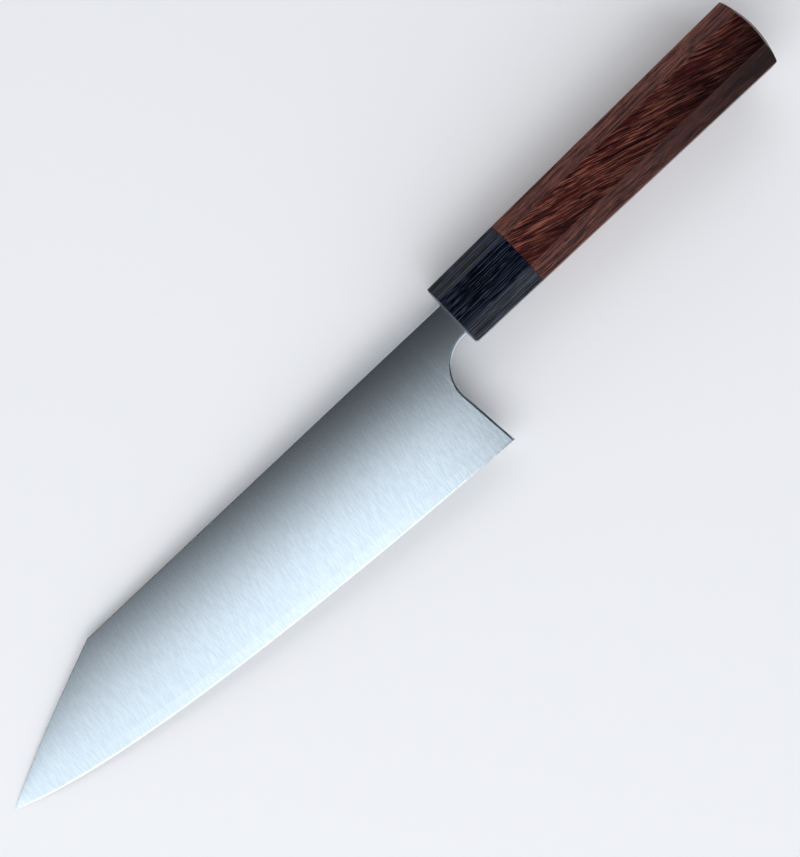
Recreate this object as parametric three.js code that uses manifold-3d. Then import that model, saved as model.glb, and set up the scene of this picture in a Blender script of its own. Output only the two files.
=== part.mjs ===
// A gyuto kitchen knife with an angled point: a three-layer blade with a hidden tang,
// glued into an eight-sided wooden handle with a darker ferrule.
// Millimetres, +Z up. The knife lies on its right side as it does on a table:
// on the ferrule's lower front edge and on the point.
// +X runs from the butt to the point, +Y from the spine to the edge.

import * as THREE from 'three';
import { mergeVertices } from 'three/addons/utils/BufferGeometryUtils.js';
import Module from 'manifold-3d';

// Blade outline, measured from the ferrule's front face and from the handle's axis
const TIP_REACH = 221.4;
const TIP_DROP = 18.1;
const FRONT_RUN = 58.4;
const FRONT_BULGE = 0.7;
const SPINE_OFFSET = 5.55;
const SPINE_RISE_DEGREES = 0.38;
const BLADE_HEIGHT = 49.3;
const HEEL_LEAN_DEGREES = 5.5;
const CHOIL_RADIUS = 13.25;
const NECK_REACH = 1.8;
const NECK_HEIGHT = 13.15;

// Sweep of the cutting edge: how it leaves the heel and how it arrives at the point
const EDGE_HEEL_DEGREES = 2.6;
const EDGE_HEEL_PULL = 103.3;
const EDGE_TIP_DEGREES = 22.6;
const EDGE_TIP_PULL = 33.6;

// Blade section
const NECK_THICKNESS = 2.1;
const HEEL_THICKNESS = 1.95;
const CORNER_THICKNESS = 1.2;
const POINT_THICKNESS = 0.55;
const CORE_THICKNESS = 0.5;
const POINT_CORE_THICKNESS = 0.3;
const CLADDING_LINE = 4.5;
const BEVEL_HEIGHT = 0.6;
const BEVEL_THICKNESS = 0.2;
const SPINE_EASE = 0.25;
const POINT_FADE = 16;

// Neck and tang inside the handle
const NECK_SEAT = 3;
const SHOULDER = 2;
const TANG_HEIGHT = 9;
const TANG_END_HEIGHT = 6;
const TANG_END_THICKNESS = 1.6;

// Handle
const HANDLE_LENGTH = 135.9;
const FERRULE_LENGTH = 29.4;
const FRONT_WIDTH = 23.75;
const FRONT_THICKNESS = 20.5;
const BUTT_WIDTH = 26.95;
const BUTT_THICKNESS = 22.9;
const FACET_CUT = 5.7;
const LONG_EDGE_EASE = 0.35;
const FRONT_EASE = 0.6;
// How far the crowned butt falls back over half its width and over half its thickness
const BUTT_CROWN = 2.6;
const BUTT_ROLL = 3.15;

// What holds the tang
const FERRULE_WEB = 2;
const DOWEL_WALL = 1.3;
const DOWEL_OVERRUN = 4;
const BUTT_SOLID = 34;
const GLUE_GAP = 0.1;
const EPOXY_FILM = 0.35;
const SEAL_WIDTH = 0.3;

// Fineness of the faceted surfaces
const SPINE_COLUMNS = 12;
const FRONT_COLUMNS = 10;
const CHOIL_COLUMNS = 8;
const UPPER_ROWS = 5;
const LOWER_ROWS = 4;
const ROUND_SEGMENTS = 48;
const CROWN_STEPS = 8;

const wasm = await Module();
wasm.setup();

const spineRise = Math.tan(THREE.MathUtils.degToRad(SPINE_RISE_DEGREES));
const heelLean = THREE.MathUtils.degToRad(HEEL_LEAN_DEGREES);
const neckUnderside = NECK_HEIGHT - SPINE_OFFSET;
const heelY = BLADE_HEIGHT - SPINE_OFFSET;
const tip = new THREE.Vector2(TIP_REACH, TIP_DROP);

// Fit of the tang: glue gap, film of epoxy, glue gap
const slotAllowance = 2 * GLUE_GAP + EPOXY_FILM;
const slotHeight = TANG_HEIGHT + 2 * slotAllowance;
const slotThickness = NECK_THICKNESS + 2 * slotAllowance;
const dowelRadius = Math.hypot(slotHeight, slotThickness) / 2 + DOWEL_WALL;
const pocketDepth = NECK_SEAT + SHOULDER + GLUE_GAP;
const dowelStart = pocketDepth + FERRULE_WEB;
const dowelEnd = HANDLE_LENGTH - BUTT_SOLID;
const tangEnd = dowelEnd - DOWEL_OVERRUN;

function spineY(x) {
	return -SPINE_OFFSET - x * spineRise;
}

function point(x, y) {
	return new THREE.Vector2(x, y);
}

// Solids for cutting and joining

function toSolid(geometry) {
	geometry.deleteAttribute('normal');
	geometry.deleteAttribute('uv');
	const merged = mergeVertices(geometry);
	return new wasm.Manifold(new wasm.Mesh({
		numProp: 3,
		vertProperties: new Float32Array(merged.attributes.position.array),
		triVerts: new Uint32Array(merged.index.array),
	}));
}

function toGeometry(solid) {
	const mesh = solid.getMesh();
	const geometry = new THREE.BufferGeometry();
	geometry.setAttribute('position', new THREE.Float32BufferAttribute(mesh.vertProperties, 3));
	geometry.setIndex(Array.from(mesh.triVerts));
	geometry.computeVertexNormals();
	return geometry;
}

function boxSolid(x0, x1, y0, y1, z0, z1) {
	const geometry = new THREE.BoxGeometry(x1 - x0, y1 - y0, z1 - z0);
	geometry.translate((x0 + x1) / 2, (y0 + y1) / 2, (z0 + z1) / 2);
	return toSolid(geometry);
}

// A round bar along the handle's axis, between two distances behind the ferrule's front face
function barSolid(radius, start, end) {
	const geometry = new THREE.CylinderGeometry(radius, radius, end - start, ROUND_SEGMENTS);
	geometry.rotateZ(Math.PI / 2);
	geometry.translate(-(start + end) / 2, 0, 0);
	return toSolid(geometry);
}

// A solid lofted through rings of points that run counter-clockwise seen from the point,
// the first ring nearest the point
function ringSolid(rings) {
	const count = rings[0].length;
	const position = rings.flat().flatMap((p) => [p.x, p.y, p.z]);
	const index = [];
	for (let r = 0; r + 1 < rings.length; r++) {
		for (let i = 0; i < count; i++) {
			const a = r * count + i;
			const b = r * count + ((i + 1) % count);
			index.push(a, b + count, b);
			index.push(a, a + count, b + count);
		}
	}
	const last = (rings.length - 1) * count;
	for (let i = 1; i + 1 < count; i++) {
		index.push(0, i, i + 1);
		index.push(last, last + i + 1, last + i);
	}
	const geometry = new THREE.BufferGeometry();
	geometry.setAttribute('position', new THREE.Float32BufferAttribute(position, 3));
	geometry.setIndex(index);
	return toSolid(geometry);
}

// A four-sided ring across the handle's axis
function blockRing(behind, y0, y1, halfThickness) {
	return [
		new THREE.Vector3(-behind, y1, halfThickness),
		new THREE.Vector3(-behind, y0, halfThickness),
		new THREE.Vector3(-behind, y0, -halfThickness),
		new THREE.Vector3(-behind, y1, -halfThickness),
	];
}

// The handle's eight-sided section, with eased corners, at a distance behind the front face
function handleRing(behind, inset) {
	const along = behind / HANDLE_LENGTH;
	const growthY = THREE.MathUtils.lerp(1, BUTT_WIDTH / FRONT_WIDTH, along);
	const growthZ = THREE.MathUtils.lerp(1, BUTT_THICKNESS / FRONT_THICKNESS, along);
	const y = FRONT_WIDTH / 2 - inset;
	const z = FRONT_THICKNESS / 2 - inset;
	const cut = FACET_CUT - inset * (2 - Math.SQRT2);
	const ease = LONG_EDGE_EASE;
	const slant = ease * Math.SQRT1_2;
	// The eased corners of one quarter, from the side facet round to the upper facet
	const quarter = [
		[y, z - cut - ease],
		[y - slant, z - cut + slant],
		[y - cut + slant, z - slant],
		[y - cut - ease, z],
	];
	const mirrored = (list, signY, signZ) => list.map(([a, b]) => [a * signY, b * signZ]);
	const ring = [
		...quarter,
		...mirrored([...quarter].reverse(), -1, 1),
		...mirrored(quarter, -1, -1),
		...mirrored([...quarter].reverse(), 1, -1),
	];
	return ring.map(([a, b]) => new THREE.Vector3(-behind, a * growthY, b * growthZ));
}

// Blade outline

const choilCentre = point(NECK_REACH, neckUnderside + CHOIL_RADIUS);
const heelLineX = choilCentre.x + CHOIL_RADIUS / Math.cos(heelLean);
const heelSlope = Math.tan(heelLean);

// Where the heel's straight face stands at a given height
function heelX(y) {
	return heelLineX - (y - choilCentre.y) * heelSlope;
}

const heel = point(heelX(heelY), heelY);
const corner = point(TIP_REACH - FRONT_RUN, spineY(TIP_REACH - FRONT_RUN));
const heelTop = point(0, 0);
heelTop.x = (heelX(0) + SPINE_OFFSET * heelSlope) / (1 - spineRise * heelSlope);
heelTop.y = spineY(heelTop.x);

const heelTurn = THREE.MathUtils.degToRad(EDGE_HEEL_DEGREES);
const tipTurn = THREE.MathUtils.degToRad(EDGE_TIP_DEGREES);
const edgeCurve = new THREE.CubicBezierCurve(
	heel,
	point(heel.x + EDGE_HEEL_PULL * Math.cos(heelTurn), heel.y - EDGE_HEEL_PULL * Math.sin(heelTurn)),
	point(tip.x - EDGE_TIP_PULL * Math.cos(tipTurn), tip.y + EDGE_TIP_PULL * Math.sin(tipTurn)),
	tip,
);
const frontChord = tip.clone().sub(corner);
const frontNormal = point(frontChord.y, -frontChord.x).normalize();
const frontMiddle = corner.clone().add(tip).multiplyScalar(0.5);
const frontCurve = new THREE.QuadraticBezierCurve(
	corner,
	frontMiddle.addScaledVector(frontNormal, 2 * FRONT_BULGE),
	tip,
);
const spineCurve = new THREE.LineCurve(heelTop, corner);
const spineShare = spineCurve.getLength() / (spineCurve.getLength() + frontCurve.getLength());

// Blade grid: columns run from spine to edge, rows from heel to point.
// Row 0 is the spine, row 1 the foot of its eased corner; the last three rows are the cladding line,
// the shoulder of the edge bevel and the cutting edge.

const TANGENT_ROW = 1 + UPPER_ROWS;
const CLADDING_ROW = TANGENT_ROW + LOWER_ROWS;
const BEVEL_ROW = CLADDING_ROW + 1;
const EDGE_ROW = CLADDING_ROW + 2;

// How far down from the spine the choil's curve runs into the heel's face
const choilEnd = point(
	choilCentre.x + CHOIL_RADIUS * Math.cos(heelLean),
	choilCentre.y + CHOIL_RADIUS * Math.sin(heelLean),
);
const heelColumn = heel.distanceTo(heelTop);
const tangentShare = (choilEnd.distanceTo(heelTop) - SPINE_EASE) / (heelColumn - CLADDING_LINE - SPINE_EASE);

// Share of the way from the eased corner's foot to the cladding line
function rowShare(row) {
	if (row <= TANGENT_ROW) return tangentShare * (row - 1) / UPPER_ROWS;
	return THREE.MathUtils.lerp(tangentShare, 1, (row - TANGENT_ROW) / LOWER_ROWS);
}

const points = [];
const halfBlade = [];
const halfCore = [];

function addPoint(position, blade, core) {
	points.push(position);
	halfBlade.push(blade);
	halfCore.push(core);
	return points.length - 1;
}

// One column of the blade: a hollow-free convex section from spine to edge
function bladeColumn(top, bottom, spineThickness, coreThickness) {
	const length = top.distanceTo(bottom);
	const fade = Math.min(1, length / POINT_FADE);
	const core = coreThickness / 2;
	const swell = spineThickness / 2 - core;
	const ease = Math.min(SPINE_EASE * fade, swell / 2);
	const claddingDepth = length - CLADDING_LINE * fade;
	const column = [];
	const place = (depth, blade, coreHalf) => {
		column.push(addPoint(top.clone().lerp(bottom, depth / length), blade, coreHalf));
	};
	place(0, spineThickness / 2 - ease, core);
	for (let row = 1; row <= CLADDING_ROW; row++) {
		const depth = ease + (claddingDepth - ease) * rowShare(row);
		const remaining = depth / claddingDepth;
		const half = row === CLADDING_ROW ? core : core + swell * (1 - remaining * remaining);
		place(depth, half, core);
	}
	const bevel = Math.min(BEVEL_THICKNESS / 2, core / 2);
	place(length - BEVEL_HEIGHT * fade, bevel, bevel);
	place(length, 0, 0);
	return column;
}

const bladeColumns = [];
for (let i = 0; i <= SPINE_COLUMNS; i++) {
	const share = i / SPINE_COLUMNS;
	bladeColumns.push(bladeColumn(
		spineCurve.getPointAt(share),
		edgeCurve.getPointAt(share * spineShare),
		THREE.MathUtils.lerp(HEEL_THICKNESS, CORNER_THICKNESS, share),
		CORE_THICKNESS,
	));
}
for (let i = 1; i < FRONT_COLUMNS; i++) {
	const share = i / FRONT_COLUMNS;
	bladeColumns.push(bladeColumn(
		frontCurve.getPointAt(share),
		edgeCurve.getPointAt(THREE.MathUtils.lerp(spineShare, 1, share)),
		THREE.MathUtils.lerp(CORNER_THICKNESS, POINT_THICKNESS, share),
		THREE.MathUtils.lerp(CORE_THICKNESS, POINT_CORE_THICKNESS, share),
	));
}
const apex = addPoint(tip.clone(), 0, 0);

// Neck and tang columns share the rows above the choil with the heel's column
function neckColumn(top, bottom, thickness, heelwards) {
	const column = [];
	const length = top.distanceTo(bottom);
	for (let row = 0; row <= TANGENT_ROW; row++) {
		const depth = row === 0 ? 0 : THREE.MathUtils.lerp(SPINE_EASE, length, (row - 1) / UPPER_ROWS);
		const flat = row === 0 ? thickness / 2 - SPINE_EASE : thickness / 2;
		const half = THREE.MathUtils.lerp(flat, halfBlade[bladeColumns[0][row]], heelwards);
		column.push(addPoint(top.clone().lerp(bottom, depth / length), half, CORE_THICKNESS / 2));
	}
	return column;
}

const neckColumns = [bladeColumns[0]];
for (let i = 1; i <= CHOIL_COLUMNS; i++) {
	const share = i / CHOIL_COLUMNS;
	const angle = THREE.MathUtils.lerp(heelLean, -Math.PI / 2, share);
	const x = THREE.MathUtils.lerp(heelTop.x, NECK_REACH, share);
	neckColumns.push(neckColumn(
		point(x, spineY(x)),
		point(choilCentre.x + CHOIL_RADIUS * Math.cos(angle), choilCentre.y + CHOIL_RADIUS * Math.sin(angle)),
		NECK_THICKNESS,
		(1 - share) * (1 - share),
	));
}
for (const x of [0, -NECK_SEAT]) {
	neckColumns.push(neckColumn(point(x, spineY(x)), point(x, neckUnderside), NECK_THICKNESS, 0));
}
const tangColumn = (x, height, thickness) => neckColumn(
	point(x, -height / 2),
	point(x, height / 2),
	thickness,
	0,
);
neckColumns.push(tangColumn(-NECK_SEAT - SHOULDER, TANG_HEIGHT, NECK_THICKNESS));
neckColumns.push(tangColumn(-tangEnd, TANG_END_HEIGHT, TANG_END_THICKNESS));

// Cells of the grid between rows, counter-clockwise seen from above
function gridCells(lastRow) {
	const cells = [];
	for (let i = 0; i + 1 < bladeColumns.length; i++) {
		for (let row = 0; row < lastRow; row++) {
			const a = bladeColumns[i];
			const b = bladeColumns[i + 1];
			cells.push([a[row], b[row], b[row + 1], a[row + 1]]);
		}
	}
	const last = bladeColumns[bladeColumns.length - 1];
	for (let row = 0; row < lastRow; row++) {
		cells.push([last[row], apex, last[row + 1]]);
	}
	for (let i = 0; i + 1 < neckColumns.length; i++) {
		for (let row = 0; row < TANGENT_ROW; row++) {
			const a = neckColumns[i + 1];
			const b = neckColumns[i];
			cells.push([a[row], b[row], b[row + 1], a[row + 1]]);
		}
	}
	return cells;
}

// A thin plate over grid cells, from one height to another at each point.
// Where the two heights meet it closes to a sharp edge.
function plate(cells, under, over) {
	const position = [];
	const upper = new Map();
	const lower = new Map();
	const addVertex = (i, z) => {
		position.push(points[i].x, points[i].y, z);
		return position.length / 3 - 1;
	};
	for (const i of new Set(cells.flat())) {
		upper.set(i, addVertex(i, over[i]));
		lower.set(i, over[i] > under[i] ? addVertex(i, under[i]) : upper.get(i));
	}
	const index = [];
	const triangle = (a, b, c) => {
		if (a !== b && b !== c && c !== a) index.push(a, b, c);
	};
	const rims = new Map();
	for (const cell of cells) {
		for (let k = 1; k + 1 < cell.length; k++) {
			triangle(upper.get(cell[0]), upper.get(cell[k]), upper.get(cell[k + 1]));
			triangle(lower.get(cell[0]), lower.get(cell[k + 1]), lower.get(cell[k]));
		}
		cell.forEach((a, k) => {
			const b = cell[(k + 1) % cell.length];
			if (!rims.delete(`${b} ${a}`)) rims.set(`${a} ${b}`, [a, b]);
		});
	}
	for (const [a, b] of rims.values()) {
		triangle(lower.get(a), lower.get(b), upper.get(b));
		triangle(lower.get(a), upper.get(b), upper.get(a));
	}
	const geometry = new THREE.BufferGeometry();
	geometry.setAttribute('position', new THREE.Float32BufferAttribute(position, 3));
	geometry.setIndex(index);
	geometry.computeVertexNormals();
	return geometry;
}

const negative = (list) => list.map((value) => -value);

function bladeCore() {
	return plate(gridCells(EDGE_ROW), negative(halfCore), halfCore);
}

function leftCladding() {
	return plate(gridCells(CLADDING_ROW), halfCore, halfBlade);
}

function rightCladding() {
	return plate(gridCells(CLADDING_ROW), negative(halfBlade), negative(halfCore));
}

// Handle pieces

const neckPocketAllowance = 2 * GLUE_GAP + SEAL_WIDTH;

// The room round the neck in the ferrule's front face, grown by an allowance
function neckRoom(allowance, front, depth) {
	return boxSolid(
		-depth,
		front,
		spineY(0) - allowance,
		neckUnderside + allowance,
		-NECK_THICKNESS / 2 - allowance,
		NECK_THICKNESS / 2 + allowance,
	);
}

function ferrule() {
	const blank = ringSolid([
		handleRing(0, FRONT_EASE),
		handleRing(FRONT_EASE, 0),
		handleRing(FERRULE_LENGTH, 0),
	]);
	const tangSlot = boxSolid(
		-FERRULE_LENGTH,
		0,
		-slotHeight / 2,
		slotHeight / 2,
		-slotThickness / 2,
		slotThickness / 2,
	);
	const bore = barSolid(dowelRadius + GLUE_GAP, dowelStart - GLUE_GAP, FERRULE_LENGTH + FRONT_EASE);
	const pocket = neckRoom(neckPocketAllowance, FRONT_EASE, pocketDepth);
	return toGeometry(blank.subtract(pocket).subtract(tangSlot).subtract(bore));
}

function handleBody() {
	const front = FERRULE_LENGTH + GLUE_GAP;
	const blank = ringSolid([handleRing(front, 0), handleRing(HANDLE_LENGTH + FRONT_EASE, 0)]);
	// The crowned butt is a paraboloid about the handle's axis, rounder across the thickness
	const squash = BUTT_THICKNESS / BUTT_WIDTH * Math.sqrt(BUTT_CROWN / BUTT_ROLL);
	const reach = Math.hypot(BUTT_WIDTH, BUTT_THICKNESS / squash) / 2;
	const profile = [point(0, 0), point(reach, 0)];
	for (let i = 0; i <= CROWN_STEPS; i++) {
		const radius = reach * (1 - i / CROWN_STEPS);
		const sag = BUTT_CROWN * Math.pow(radius / (BUTT_WIDTH / 2), 2);
		profile.push(point(radius, HANDLE_LENGTH - sag));
	}
	const crown = new THREE.LatheGeometry(profile, ROUND_SEGMENTS);
	crown.rotateZ(Math.PI / 2);
	crown.scale(1, 1, squash);
	const bore = barSolid(dowelRadius + GLUE_GAP, 0, dowelEnd + GLUE_GAP);
	return toGeometry(blank.intersect(toSolid(crown)).subtract(bore));
}

function tangDowel() {
	const slot = boxSolid(
		-dowelEnd - GLUE_GAP,
		0,
		-slotHeight / 2,
		slotHeight / 2,
		-slotThickness / 2,
		slotThickness / 2,
	);
	return toGeometry(barSolid(dowelRadius, dowelStart, dowelEnd).subtract(slot));
}

// The epoxy that beds the tang in the dowel's slot, closed behind the tang's end
function tangEpoxy() {
	const outerY = slotHeight / 2 - GLUE_GAP;
	const outerZ = slotThickness / 2 - GLUE_GAP;
	const bed = boxSolid(-dowelEnd, -dowelStart, -outerY, outerY, -outerZ, outerZ);
	const shoulder = NECK_SEAT + SHOULDER;
	const room = ringSolid([
		blockRing(shoulder, -TANG_HEIGHT / 2 - GLUE_GAP, TANG_HEIGHT / 2 + GLUE_GAP, NECK_THICKNESS / 2 + GLUE_GAP),
		blockRing(
			tangEnd + GLUE_GAP,
			-TANG_END_HEIGHT / 2 - GLUE_GAP,
			TANG_END_HEIGHT / 2 + GLUE_GAP,
			TANG_END_THICKNESS / 2 + GLUE_GAP,
		),
	]);
	return toGeometry(bed.subtract(room));
}

// The bead that closes the gap between the neck and the ferrule
function neckSeal() {
	const bead = neckRoom(GLUE_GAP + SEAL_WIDTH, 0, NECK_SEAT);
	return toGeometry(bead.subtract(neckRoom(GLUE_GAP, GLUE_GAP, pocketDepth)));
}

// Assembly

function finish(colour, roughness, metalness) {
	return new THREE.MeshStandardMaterial({ color: colour, roughness, metalness });
}

const pieces = [
	['blade_core', bladeCore(), finish(0xd9dee2, 0.3, 1)],
	['left_cladding', leftCladding(), finish(0xaab2b8, 0.38, 1)],
	['right_cladding', rightCladding(), finish(0xaab2b8, 0.38, 1)],
	['ferrule', ferrule(), finish(0x1b1b20, 0.45, 0)],
	['handle_body', handleBody(), finish(0x4a2420, 0.5, 0)],
	['tang_dowel', tangDowel(), finish(0xb58a5a, 0.7, 0)],
	['tang_epoxy', tangEpoxy(), finish(0xcfc4a4, 0.4, 0)],
	['neck_seal', neckSeal(), finish(0x8d8c88, 0.5, 0)],
];

const knife = new THREE.Group();
for (const [name, geometry, material] of pieces) {
	const mesh = new THREE.Mesh(geometry, material);
	mesh.name = name;
	knife.add(mesh);
}

// Lying on a table: tipped forwards until the ferrule's lower front edge and the point are level
const frontHalf = FRONT_THICKNESS / 2 * THREE.MathUtils.lerp(
	1,
	BUTT_THICKNESS / FRONT_THICKNESS,
	FRONT_EASE / HANDLE_LENGTH,
);
knife.rotation.y = Math.atan2(frontHalf, TIP_REACH + FRONT_EASE);

// Origin under the middle of the lying knife
const lying = new THREE.Group();
lying.add(knife);
const extent = new THREE.Box3().setFromObject(lying, true);
const middle = extent.getCenter(new THREE.Vector3());
lying.position.set(-middle.x, -middle.y, -extent.min.z);

export default lying;
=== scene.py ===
# A gyuto knife with an angled point, lying on its side: clad steel blade, ebony ferrule, rosewood handle.
# Metres, in the frame of its solids: +X from the butt to the point, +Y from the spine to the edge, +Z up.
# Each piece is modelled in the knife's own frame, whose origin is the middle of the ferrule's front face,
# and is then laid down where the solids lie.

import bisect
import math
from collections import namedtuple

import bpy
from bpy.props import FloatProperty, FloatVectorProperty, PointerProperty
from mathutils import Matrix, Vector, noise
from mathutils.geometry import interpolate_bezier


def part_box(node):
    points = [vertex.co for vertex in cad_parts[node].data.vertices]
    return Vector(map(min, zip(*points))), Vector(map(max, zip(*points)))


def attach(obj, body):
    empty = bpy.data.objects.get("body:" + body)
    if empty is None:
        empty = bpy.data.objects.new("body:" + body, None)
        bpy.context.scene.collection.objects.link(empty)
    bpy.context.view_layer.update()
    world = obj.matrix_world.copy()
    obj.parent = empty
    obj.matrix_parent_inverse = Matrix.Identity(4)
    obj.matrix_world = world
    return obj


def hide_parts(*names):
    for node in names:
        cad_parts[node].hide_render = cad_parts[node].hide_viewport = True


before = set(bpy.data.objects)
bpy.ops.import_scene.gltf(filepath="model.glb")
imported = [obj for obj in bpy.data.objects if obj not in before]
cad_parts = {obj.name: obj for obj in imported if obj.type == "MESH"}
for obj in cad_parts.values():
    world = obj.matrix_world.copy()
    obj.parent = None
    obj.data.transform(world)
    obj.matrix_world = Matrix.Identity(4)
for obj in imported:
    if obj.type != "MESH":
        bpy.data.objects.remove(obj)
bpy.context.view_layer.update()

bl_info = {
    "name": "Gyuto Knife",
    "version": (1, 0, 0),
    "blender": (4, 5, 0),
    "location": "3D View > Sidebar > Knife",
    "description": "Dresses a gyuto knife: clad steel blade, ebony ferrule and rosewood handle",
    "category": "Object",
}

MM = 0.001
BODY = "root"
HAIRLINE_UV = "hairlines"
WEAR = "edge_wear"

# Sockets of the mix node for colours and for vectors, whose names are alike
MIX_FACTOR, MIX_A, MIX_B, MIX_RESULT = 0, 6, 7, 2
VECTOR_A, VECTOR_B, VECTOR_RESULT = 4, 5, 1

# Row zones of the blade's grid after the spine's rounding
UPPER_FACE, LOWER_FACE, CORE_STRIP, BEVEL = 1, 2, 3, 4

# Fineness of the blade's grid, row zone by row zone from the spine to the edge, and along the blade
ROW_COUNTS = (5, 32, 16, 6, 2)
SPINE_COLUMNS = 90
FRONT_COLUMNS = 44
CHOIL_COLUMNS = 28
NECK_COLUMNS = 4
CURVE_STEPS = 240

# Fineness of the handle
CORNER_STEPS = 4
FACET_STEPS = 8
ROUND_STEPS = 5
DOME_STEPS = 10

# Shading: the turn in degrees from which an edge stays crisp, and how far broad faces outweigh small ones
STEEL_CREASE = 40
WOOD_CREASE = 35
BEAD_CREASE = 50
BROAD_FACES = 90

# Most of a layer's room that the rounding along the choil and heel takes
RIM_SHARE = 0.8

# Place in the noise where the cladding line's wave is read
WAVE_PLACE = 0.5


# Settings

def linear(hex_colour):
    """An sRGB hex colour as linear red, green, blue and alpha."""
    channels = [int(hex_colour[i:i + 2], 16) / 255 for i in (1, 3, 5)]
    return tuple(c / 12.92 if c <= 0.04045 else ((c + 0.055) / 1.055) ** 2.4 for c in channels) + (1.0,)


def setting(name, value, description, **options):
    return FloatProperty(name=name, description=description, default=value, **options)


def length(name, millimetres, description):
    return setting(name, millimetres * MM, description, min=0.0, precision=5, unit="LENGTH")


def offset(name, millimetres, description):
    return setting(name, millimetres * MM, description, precision=5, unit="LENGTH")


def angle(name, degrees, description):
    return setting(name, math.radians(degrees), description, subtype="ANGLE")


def share(name, value, description):
    return setting(name, value, description, min=0.0, max=1.0, subtype="FACTOR")


def colour(name, hex_colour, description):
    return FloatVectorProperty(
        name=name, description=description, default=linear(hex_colour),
        size=4, min=0.0, max=1.0, subtype="COLOR",
    )


class BladeSizes(bpy.types.PropertyGroup):
    tip_reach: length("Tip reach", 221.4, "From the ferrule's front face to the point")
    tip_drop: length("Tip drop", 18.1, "From the handle's axis down to the point")
    front_run: length("Front run", 58.4, "Length along the blade of its front slope")
    front_bulge: length("Front bulge", 0.7, "How far the front slope swells past a straight line")
    spine_offset: length("Spine offset", 5.55, "From the handle's axis up to the spine at the ferrule")
    spine_rise: angle("Spine rise", 0.38, "Turn of the spine away from the handle's axis")
    height: length("Blade height", 49.3, "From the spine to the heel")
    heel_lean: angle("Heel lean", 5.5, "Turn of the heel's face away from square")
    choil_radius: length("Choil radius", 13.25, "Curve between the neck and the heel's face")
    neck_reach: length("Neck reach", 1.8, "Straight neck in front of the ferrule")
    neck_height: length("Neck height", 13.15, "From the spine to the neck's underside")
    edge_heel_turn: angle("Edge turn at heel", 2.6, "Turn of the edge where it leaves the heel")
    edge_heel_pull: length("Edge pull at heel", 103.3, "How far the edge keeps its direction from the heel")
    edge_tip_turn: angle("Edge turn at point", 22.6, "Turn of the edge where it reaches the point")
    edge_tip_pull: length("Edge pull at point", 33.6, "How far the edge keeps its direction to the point")
    neck_thickness: length("Neck thickness", 2.1, "Thickness of the neck and the tang")
    heel_thickness: length("Heel thickness", 1.95, "Spine thickness above the heel")
    corner_thickness: length("Corner thickness", 1.2, "Spine thickness at the angled point's corner")
    point_thickness: length("Point thickness", 0.55, "Thickness of the front slope at the point")
    core_thickness: length("Core thickness", 0.5, "Thickness of the hard middle layer")
    point_core: length("Core thickness at point", 0.3, "Thickness of the middle layer at the point")
    cladding_line: length("Cladding line", 4.5, "From the edge up to the end of the cladding")
    cladding_wave: length("Cladding wave", 0.3, "How far the cladding's end wanders up and down")
    wave_length: length("Wave length", 9.0, "Distance along the blade between its wanderings")
    bevel_height: length("Bevel height", 0.45, "Height of the sharpened bevel")
    bevel_thickness: length("Bevel thickness", 0.17, "Thickness at the bevel's shoulder")
    spine_ease: length("Spine ease", 0.45, "Rounding of the spine's corners")
    choil_ease: length("Choil ease", 0.7, "Rounding of the choil's and the heel's corners")
    point_fade: length("Point fade", 16.0, "Blade height under which all details shrink towards the point")
    point_taper: share("Point taper", 0.1, "Share of the front slope over which the point thins to nothing")
    neck_seat: length("Neck seat", 3.0, "How deep the neck sits in the ferrule")
    shoulder: length("Tang shoulder", 2.0, "Length of the step from the neck to the tang")
    tang_height: length("Tang height", 9.0, "Height of the tang at the shoulder")
    tang_end_height: length("Tang end height", 6.0, "Height of the tang's end")
    tang_end_thickness: length("Tang end thickness", 1.6, "Thickness of the tang's end")


class HandleSizes(bpy.types.PropertyGroup):
    length: length("Handle length", 135.9, "From the ferrule's front face to the butt")
    ferrule_length: length("Ferrule length", 29.4, "Length of the dark collar")
    front_width: length("Front width", 23.75, "Width across the side flats at the front")
    front_thickness: length("Front thickness", 20.5, "Thickness across the wide flats at the front")
    butt_width: length("Butt width", 26.95, "Width across the side flats at the butt")
    butt_thickness: length("Butt thickness", 22.9, "Thickness across the wide flats at the butt")
    facet_cut: length("Facet cut", 5.7, "How far the slanted facets cut into the corners")
    long_edge_ease: length("Long edge ease", 0.35, "Rounding of the long edges")
    front_ease: length("Front ease", 0.6, "Chamfer that the solids have round the ferrule's front face")
    front_round: length("Front round", 0.35, "Rounding of the edge round the ferrule's front face")
    finger_round: length("Finger round", 1.2, "Rounding of that edge on the side of the cook's finger")
    butt_ease: length("Butt ease", 0.2, "Rounding of the edge round the butt")
    sanding: length("Sanding", 0.03, "Wood that the last sanding takes off")
    butt_crown: length("Butt crown", 2.6, "Fall of the butt over half its width")
    butt_roll: length("Butt roll", 3.15, "Fall of the butt over half its thickness")
    ferrule_web: length("Ferrule web", 2.0, "Wood between the neck's pocket and the dowel")
    dowel_overrun: length("Dowel overrun", 4.0, "How far the dowel runs past the tang's end")
    butt_solid: length("Solid butt", 34.0, "Wood behind the dowel")
    glue_gap: length("Glue gap", 0.1, "Gap on each side of a glue line")
    epoxy_film: length("Epoxy film", 0.35, "Film of epoxy round the tang")
    seal_width: length("Seal width", 0.3, "Width of the bead round the neck")
    seal_swell: length("Seal swell", 0.18, "How far the bead stands out of the ferrule's front face")


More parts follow.
